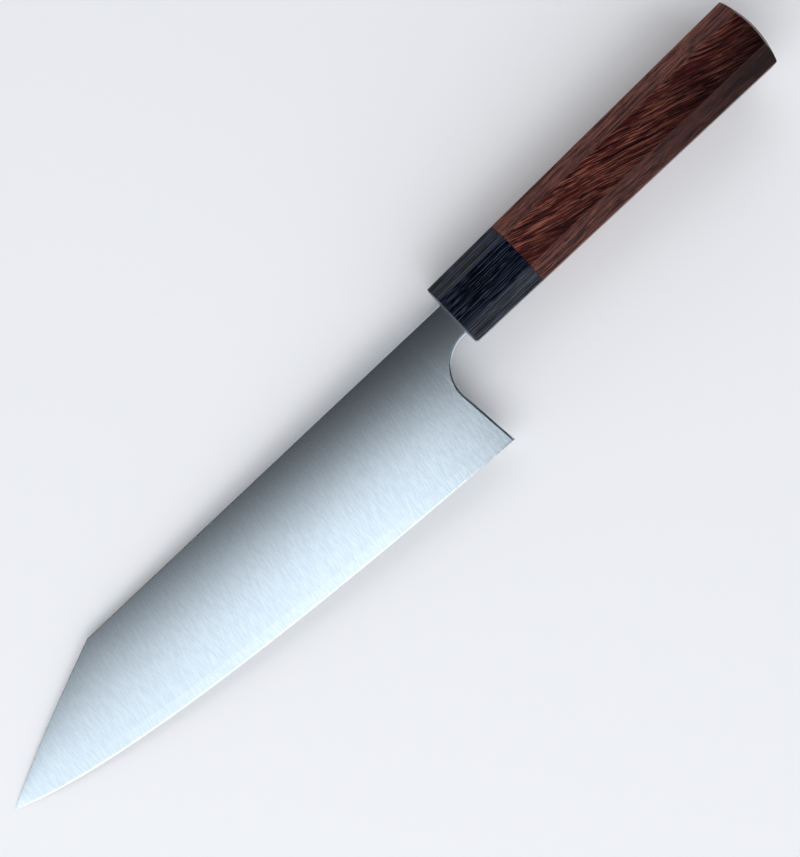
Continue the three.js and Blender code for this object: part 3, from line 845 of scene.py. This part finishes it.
def oiled_rosewood(finishes):
    # Rosewood sawn at a slant to its grain, shaped to eight flats, sanded and oiled. The eye sees a red
    # brown. On the wide flats thin pale bands, dark streaks and short open pores cross it at a slant. The
    # other flats were cut along the bands and are quieter, with long lines on a paler ground. That paler
    # ground and the lower contrast are partly painted sheen, the soft shine those flats take from the room.
    # The wood grows darker towards the butt and the edge side of the upper face. Its bands and pores are
    # about 0.2 mm wide and are drawn 0.3 to 0.4 mm wide to show.
    material, tree, place = new_material("oiled_rosewood_sanded")
    wide_flat = wide_flats(tree)
    sway = add_node(tree, "TexNoise", {"Vector": place, "Scale": 1 / SWAY_LENGTH, "Detail": 1.0}, "Color")
    swayed = {0: sway, 1: (SWAY, SWAY, SWAY), 2: place}
    along = add_node(tree, "VectorMath", swayed, operation="MULTIPLY_ADD")
    aslant = add_node(tree, "Mapping", {
        "Vector": along,
        "Rotation": (0, 0, math.radians(SLANT)),
        "Scale": (1, 1, SLANT_DEPTH),
    }, vector_type="TEXTURE")
    runs = {MIX_FACTOR: wide_flat, VECTOR_A: along, VECTOR_B: aslant}
    fibres = add_node(tree, "Mix", runs, VECTOR_RESULT, data_type="VECTOR")
    # Weaker grain on the other flats, partly painted sheen that washes out its contrast
    bold = add_node(tree, "MapRange", {"Value": wide_flat, "To Min": QUIET_GRAIN_UNDER_SHEEN, "To Max": 1.0})
    streaks, bands, threads, pores = (
        add_node(tree, "Math", {0: grain_layer(tree, fibres, grain), 1: bold}, operation="MULTIPLY")
        for grain in (ROSEWOOD_STREAKS, ROSEWOOD_BANDS, ROSEWOOD_THREADS, ROSEWOOD_PORES)
    )
    patches = grain_layer(tree, fibres, ROSEWOOD_PATCHES)
    trend = add_node(tree, "VectorMath", {0: place, 1: DARKENING_TREND}, "Value", operation="DOT_PRODUCT")
    darkening = {"Value": trend, "From Min": DARKENING_START, "From Max": DARKENING_END, "To Max": DARKENING_COVER}
    # The other flats' paler ground is partly painted sheen
    tone = paint(tree, finishes.rosewood_side_and_sheen, (
        (wide_flat, finishes.rosewood),
        (streaks, finishes.rosewood_dark),
        (bands, finishes.rosewood_light),
        (pores, finishes.rosewood_pore),
        (add_node(tree, "Math", {0: threads, 1: patches}, operation="MULTIPLY"), finishes.rosewood_light),
        # Darker towards the butt and the edge side of the upper face
        (add_node(tree, "MapRange", darkening), finishes.rosewood_pore),
        (rubbed_edges(tree, most=0.1), finishes.rosewood_light),
    ))
    pits = {"Height": pores, "Strength": 0.3, "Distance": 0.05 * MM}
    return surfaced(material, {
        "Base Color": tone,
        "Roughness": add_node(tree, "MapRange", {"Value": pores, "To Min": 0.27, "To Max": 0.45}),
        "IOR": 1.5,
        "Specular IOR Level": 0.08,
        "Normal": add_node(tree, "Bump", pits, invert=True),
    })


def plain_grain(name, ground, line, size, roughness):
    # A matt piece with little to show: the dowel's split-grained magnolia, cast epoxy with its clouds, or
    # wiped sealant. The eye sees a soft tone broken by grain or cloud of the size that is given.
    material, tree, place = new_material(name)
    grain = add_node(tree, "Mapping", {"Vector": place, "Scale": size}, vector_type="TEXTURE")
    cloud = add_node(tree, "TexNoise", {"Vector": grain, "Scale": 1.0, "Detail": 3.0}, "Fac")
    gloss = {"Value": cloud, "To Min": roughness - CLOUD_GLOSS, "To Max": roughness + CLOUD_GLOSS}
    return surfaced(material, {
        "Base Color": paint(tree, ground, [(cloud, line)]),
        "Roughness": add_node(tree, "MapRange", gloss),
        "Normal": add_node(tree, "Bump", {"Height": cloud, "Strength": 0.2, "Distance": 0.05 * MM}),
    })


def matt_board(tint):
    # A sheet of board painted with a roller and left matt. The eye sees an even pale tone with only a breath
    # of unevenness.
    material, tree, place = new_material("painted_board_matt")
    cloud = add_node(tree, "TexNoise", {"Vector": place, "Scale": 1 / BOARD_CLOUD, "Detail": 3.0}, "Fac")
    return surfaced(material, {
        "Base Color": tint,
        "Roughness": add_node(tree, "MapRange", {"Value": cloud, "To Min": 0.8, "To Max": 0.95}),
        "Specular IOR Level": 0.2,
    })


# Operators

class GYUTO_OT_blade_core(bpy.types.Operator):
    """Builds the hard middle layer of the blade, from the tang to the edge"""

    bl_idname = "gyuto.blade_core"
    bl_label = "Blade Core"

    def execute(self, context):
        scene = context.scene
        finishes = scene.gyuto_finishes
        grid = BladeGrid(scene.gyuto_blade, tang_end(scene.gyuto_handle))
        under = [-half for half in grid.half_core]
        vertices, faces, rows = grid.plate(grid.edge_row, under, grid.half_core)
        stoned = satin_steel(
            "hard_steel_stoned", finishes.core, finishes.core_dark, roughness=0.18, anisotropy=0.67
        )
        honed = satin_steel(
            "hard_steel_honed", finishes.bevel, finishes.core, roughness=0.14, anisotropy=0.5
        )
        piece = add_piece(scene, "hard_core", vertices, faces, "blade_core", stoned)
        piece.data.materials.append(honed)
        for face in piece.data.polygons:
            face.material_index = int(min(rows[i] for i in face.vertices) >= grid.shoulder_row)
        add_hairline_map(piece)
        shade(piece, STEEL_CREASE)
        return {"FINISHED"}


class GYUTO_OT_cladding(bpy.types.Operator):
    """Builds the two outer layers of the blade"""

    bl_idname = "gyuto.cladding"
    bl_label = "Cladding"

    def execute(self, context):
        scene = context.scene
        finishes = scene.gyuto_finishes
        grid = BladeGrid(scene.gyuto_blade, tang_end(scene.gyuto_handle))
        steel = satin_steel(
            "stainless_cladding_satin", finishes.cladding, finishes.cladding_dark,
            roughness=0.18, anisotropy=0.67,
        )
        inner, outer = grid.half_core, grid.half_blade
        sides = {
            "left": (inner, outer),
            "right": ([-half for half in outer], [-half for half in inner]),
        }
        for side, (under, over) in sides.items():
            vertices, faces, _ = grid.plate(grid.cladding_row, under, over)
            node = f"{side}_cladding"
            piece = add_piece(scene, f"{side}_layer", vertices, faces, node, steel)
            add_hairline_map(piece)
            shade(piece, STEEL_CREASE)
        return {"FINISHED"}


class GYUTO_OT_ferrule(bpy.types.Operator):
    """Builds the eight-sided ebony collar with the neck's pocket and the dowel's bore"""

    bl_idname = "gyuto.ferrule"
    bl_label = "Ferrule"

    def execute(self, context):
        scene = context.scene
        blade, handle = scene.gyuto_blade, scene.gyuto_handle
        rings = []
        wear = []
        for k in range(ROUND_STEPS + 1):
            turn = k / ROUND_STEPS * math.pi / 2
            ring, ring_wear = self.rounded(handle, handle.front_round, turn)
            soft, _ = self.rounded(handle, handle.finger_round, turn)
            rings.append([a.lerp(b, self.finger_side(handle, a)) for a, b in zip(ring, soft)])
            wear += [max(w, math.sin(2 * turn)) for w in ring_wear]
        back, back_wear = octagon(handle, handle.ferrule_length)
        rings.append(back)
        wear += back_wear
        bore = dowel_radius() + handle.glue_gap
        pocket = blade.neck_seat + blade.shoulder + handle.glue_gap
        bore_start = pocket + handle.ferrule_web - handle.glue_gap
        allowance = 2 * handle.glue_gap + handle.epoxy_film
        slot_half = blade.tang_height / 2 + allowance
        slot = (-slot_half, slot_half, blade.neck_thickness / 2 + allowance)
        room = neck_room(blade, 2 * handle.glue_gap + handle.seal_width)
        rings.append(circle(handle.ferrule_length, bore, back))
        rings.append(circle(bore_start, bore, back))
        for behind in (bore_start, pocket):
            rings.append(block(behind, *slot, back))
        for behind in (pocket, 0.0):
            rings.append(block(behind, *room, back))
        vertices, faces = loft(rings, closed=True)
        wear += [0.0] * (len(vertices) - len(wear))
        ebony = oiled_ebony(scene.gyuto_finishes)
        piece = add_piece(scene, "ebony_ferrule", vertices, faces, "ferrule", ebony)
        set_wear(piece, wear)
        shade(piece, WOOD_CREASE)
        return {"FINISHED"}

    @staticmethod
    def rounded(handle, radius, turn):
        """A section of the rounded front edge, at a turn from the front face to the facets."""
        return octagon(handle, radius * (1 - math.cos(turn)), radius * (1 - math.sin(turn)))

    @staticmethod
    def finger_side(handle, p):
        """0 over most of the section, rising to 1 at the side flat next to the cook's finger."""
        half = handle.front_width / 2
        inner = half - handle.facet_cut
        return smooth(min(max((p.y - inner) / (half - inner), 0.0), 1.0))


class GYUTO_OT_handle_body(bpy.types.Operator):
    """Builds the eight-sided rosewood grip with its crowned butt and the dowel's bore"""

    bl_idname = "gyuto.handle_body"
    bl_label = "Handle Body"

    def execute(self, context):
        scene = context.scene
        handle = scene.gyuto_handle
        start = handle.ferrule_length + handle.glue_gap
        front, front_wear = octagon(handle, start)
        bore = dowel_radius() + handle.glue_gap
        bore_end = handle.length - handle.butt_solid + handle.glue_gap
        rings = [
            [Vector((-bore_end, 0.0, 0.0))],
            circle(bore_end, bore, front),
            circle(start, bore, front),
            front,
        ]
        wear = [0.0] * (1 + 2 * len(front)) + front_wear
        ease = handle.butt_ease
        for k in range(CORNER_STEPS + 1):
            turn = k / CORNER_STEPS * math.pi / 2
            inset = ease * (1 - math.cos(turn))
            short = ease * (1 - math.sin(turn))
            ring, ring_wear = octagon(handle, handle.length - handle.butt_crown, inset)
            rings.append([self.on_dome(handle, p, short) for p in ring])
            wear += [max(w, math.sin(2 * turn)) for w in ring_wear]
        rim = rings[-1]
        for k in range(1, DOME_STEPS):
            part = 1 - k / DOME_STEPS
            rings.append([self.on_dome(handle, Vector((0.0, p.y * part, p.z * part)), 0.0) for p in rim])
        rings.append([self.on_dome(handle, Vector((0.0, 0.0, 0.0)), 0.0)])
        vertices, faces = loft(rings)
        wear += [0.0] * (len(vertices) - len(wear))
        rosewood = oiled_rosewood(scene.gyuto_finishes)
        piece = add_piece(scene, "rosewood_body", vertices, faces, "handle_body", rosewood)
        set_wear(piece, wear)
        shade(piece, WOOD_CREASE)
        return {"FINISHED"}

    @staticmethod
    def on_dome(handle, p, short):
        """Puts a point of a section on the crowned butt, or a little short of it."""
        sag = handle.butt_crown * (2 * p.y / handle.butt_width) ** 2
        sag += handle.butt_roll * (2 * p.z / handle.butt_thickness) ** 2
        return Vector((sag + short + handle.sanding - handle.length, p.y, p.z))


class GYUTO_OT_neck_bead(bpy.types.Operator):
    """Builds the bead of sealant that closes the gap between the neck and the ferrule"""

    bl_idname = "gyuto.neck_bead"
    bl_label = "Neck Bead"

    def execute(self, context):
        scene = context.scene
        blade, handle = scene.gyuto_blade, scene.gyuto_handle
        finishes = scene.gyuto_finishes
        guide, _ = octagon(handle, 0.0)
        inner = handle.glue_gap
        width = handle.seal_width
        rings = [block(blade.neck_seat, *neck_room(blade, inner + width), guide)]
        rings.append(block(blade.neck_seat, *neck_room(blade, inner), guide))
        for k in range(ROUND_STEPS + 1):
            turn = k / ROUND_STEPS * math.pi
            across = inner + width * (1 - math.cos(turn)) / 2
            rings.append(block(-handle.seal_swell * math.sin(turn), *neck_room(blade, across), guide))
        vertices, faces = loft(rings, closed=True)
        sealant = plain_grain(
            "cast_sealant_wiped", finishes.sealant, finishes.ebony_line, SEALANT_CLOUD, roughness=0.45
        )
        piece = add_piece(scene, "neck_bead", vertices, faces, "neck_seal", sealant)
        shade(piece, BEAD_CREASE)
        return {"FINISHED"}


class GYUTO_OT_tang_fittings(bpy.types.Operator):
    """Finishes the dowel and the epoxy that hide in the handle"""

    bl_idname = "gyuto.tang_fittings"
    bl_label = "Tang Fittings"

    def execute(self, context):
        finishes = context.scene.gyuto_finishes
        materials = {
            "tang_dowel": plain_grain(
                "magnolia_dowel_turned", finishes.dowel, finishes.dowel_line, DOWEL_GRAIN, roughness=0.7
            ),
            "tang_epoxy": plain_grain(
                "cast_epoxy", finishes.epoxy, finishes.sealant, EPOXY_CLOUD, roughness=0.4
            ),
        }
        for node, material in materials.items():
            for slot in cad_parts[node].material_slots:
                slot.material = material
        return {"FINISHED"}


# Patches of light in the room: the cosine of the angle from a patch's middle where it starts and is full
UPPER_WALLS = (0.15, 0.5)
WINDOW = (0.35, 0.55)
SKYLIGHT = (0.85, 0.94)
GLEAM = (0.77, 0.93)
OVERHEAD = (0.7, 0.92)

# Shares of the lamp's length between which it wanes, and what is left of it then
LAMP_WANE = (0.1, 0.35)
LAMP_REST = 0.77

# Nearest thing that the camera sees
CAMERA_NEAR = 10 * MM


class GYUTO_OT_stage(bpy.types.Operator):
    """Sets the pale floor, the soft lamp, the dim room and the camera over the knife"""

    bl_idname = "gyuto.stage"
    bl_label = "Stage"

    def execute(self, context):
        scene = context.scene
        stage = scene.gyuto_stage
        self.add_floor(scene, stage)
        self.add_lamp(scene, stage)
        self.set_room(scene, stage)
        self.add_camera(scene, stage)
        scene.view_settings.view_transform = "Standard"
        return {"FINISHED"}

    def add_floor(self, scene, stage):
        half = stage.floor_size / 2
        corners = [(-half, -half, 0), (half, -half, 0), (half, half, 0), (-half, half, 0)]
        mesh = bpy.data.meshes.new("floor")
        mesh.from_pydata(corners, [], [(0, 1, 2, 3)])
        mesh.materials.append(matt_board(stage.floor))
        floor = bpy.data.objects.new("floor", mesh)
        scene.collection.objects.link(floor)

    def add_lamp(self, scene, stage):
        """A large soft lamp that hangs towards the edge and the point, its faded edge above the blade."""
        lamp = bpy.data.lights.new("soft_lamp", "AREA")
        lamp.shape = "RECTANGLE"
        lamp.size = stage.lamp_width
        lamp.size_y = stage.lamp_depth
        lamp.color = stage.lamp_colour[:3]
        lamp.energy = stage.lamp_glow * math.pi * stage.lamp_width * stage.lamp_depth
        lamp.use_nodes = True
        tree = lamp.node_tree
        tree.nodes.clear()
        spot = add_node(tree, "NewGeometry", output="Parametric")
        along, across = (add_node(tree, "SeparateXYZ", {"Vector": spot}, axis) for axis in "XY")
        soft = {"Value": across, "From Max": stage.lamp_soft / stage.lamp_depth}
        fade = add_node(tree, "MapRange", soft, interpolation_type="SMOOTHSTEP")
        begin, end = LAMP_WANE
        wane = {"Value": along, "From Min": begin, "From Max": end, "To Min": 1.0, "To Max": LAMP_REST}
        both = {0: fade, 1: add_node(tree, "MapRange", wane)}
        strength = add_node(tree, "Math", both, operation="MULTIPLY")
        glow = add_node(tree, "Emission", {"Strength": strength})
        add_node(tree, "OutputLight", {"Surface": glow})
        piece = bpy.data.objects.new("soft_lamp", lamp)
        scene.collection.objects.link(piece)
        hang = Matrix.Translation((0.0, stage.lamp_y, stage.lamp_height))
        turn = Matrix.Rotation(-stage.lamp_turn, 4, "Z")
        reach = (stage.lamp_x + stage.lamp_width / 2, (stage.lamp_depth - stage.lamp_soft) / 2, 0.0)
        piece.matrix_world = hang @ turn @ Matrix.Translation(reach)

    def set_room(self, scene, stage):
        """The room's light: pale lower walls, dim upper ones, three windows and a dark ceiling, and for the
        camera a plain backdrop."""
        world = bpy.data.worlds.new("dim_room")
        scene.world = world
        world.use_nodes = True
        tree = world.node_tree
        tree.nodes.clear()
        direction = add_node(tree, "TexCoord", output="Generated")
        straight_up = math.pi / 2
        patches = (
            (stage.room_shade, 0.0, straight_up, UPPER_WALLS),
            (stage.daylight, stage.window_turn, 0.0, WINDOW),
            (stage.daylight, stage.skylight_turn, stage.skylight_rise, SKYLIGHT),
            (stage.daylight, stage.gleam_turn, stage.gleam_rise, GLEAM),
            (stage.room_high, 0.0, straight_up, OVERHEAD),
        )
        coats = []
        for tint, turn, rise, (begin, full) in patches:
            middle = (math.cos(turn) * math.cos(rise), math.sin(turn) * math.cos(rise), math.sin(rise))
            near = add_node(tree, "VectorMath", {0: direction, 1: middle}, "Value", operation="DOT_PRODUCT")
            edge = {"Value": near, "From Min": begin, "From Max": full}
            coats.append((add_node(tree, "MapRange", edge, interpolation_type="SMOOTHSTEP"), tint))
        walls = paint(tree, stage.room_low, coats)
        room = add_node(tree, "Background", {"Color": walls, "Strength": stage.room_glow})
        plain = add_node(tree, "Background", {"Color": stage.backdrop})
        seen = add_node(tree, "LightPath", output="Is Camera Ray")
        both = add_node(tree, "MixShader", {0: seen, 1: room, 2: plain})
        add_node(tree, "OutputWorld", {"Surface": both})

    def add_camera(self, scene, stage):
        """A camera that looks down on the knife, turned so that it lies across the picture."""
        data = bpy.data.cameras.new("camera")
        data.lens = stage.focal_pixels / stage.picture_height * data.sensor_width
        data.clip_start = CAMERA_NEAR
        data.clip_end = stage.floor_size
        camera = bpy.data.objects.new("camera", data)
        scene.collection.objects.link(camera)
        aim = Matrix.Translation((stage.aim_x, stage.aim_y, 0.0))
        tilt = Matrix.Rotation(-stage.camera_tilt, 4, "X")
        roll = Matrix.Rotation(-stage.heading, 4, "Z")
        camera.matrix_world = aim @ tilt @ roll @ Matrix.Translation((0.0, 0.0, stage.camera_distance))
        scene.camera = camera


class GYUTO_PT_pieces(bpy.types.Panel):
    """Lists the knife's pieces and settings"""

    bl_idname = "GYUTO_PT_pieces"
    bl_label = "Gyuto Knife"
    bl_space_type = "VIEW_3D"
    bl_region_type = "UI"
    bl_category = "Knife"

    def draw(self, context):
        for operator in OPERATORS:
            self.layout.operator(operator.bl_idname)
        for group in GROUPS:
            settings = getattr(context.scene, group)
            column = self.layout.column()
            for name in settings.__annotations__:
                column.prop(settings, name)


OPERATORS = (
    GYUTO_OT_blade_core,
    GYUTO_OT_cladding,
    GYUTO_OT_ferrule,
    GYUTO_OT_handle_body,
    GYUTO_OT_neck_bead,
    GYUTO_OT_tang_fittings,
    GYUTO_OT_stage,
)
GROUPS = {
    "gyuto_blade": BladeSizes,
    "gyuto_handle": HandleSizes,
    "gyuto_finishes": Finishes,
    "gyuto_stage": StageSizes,
}


def register():
    for cls in (*GROUPS.values(), *OPERATORS, GYUTO_PT_pieces):
        bpy.utils.register_class(cls)
    for name, group in GROUPS.items():
        setattr(bpy.types.Scene, name, PointerProperty(type=group))


def unregister():
    for name in GROUPS:
        delattr(bpy.types.Scene, name)
    for cls in reversed((*GROUPS.values(), *OPERATORS, GYUTO_PT_pieces)):
        bpy.utils.unregister_class(cls)


def main():
    register()
    for operator in OPERATORS:
        group, name = operator.bl_idname.split(".")
        getattr(getattr(bpy.ops, group), name)()


if __name__ == "__main__":
    main()
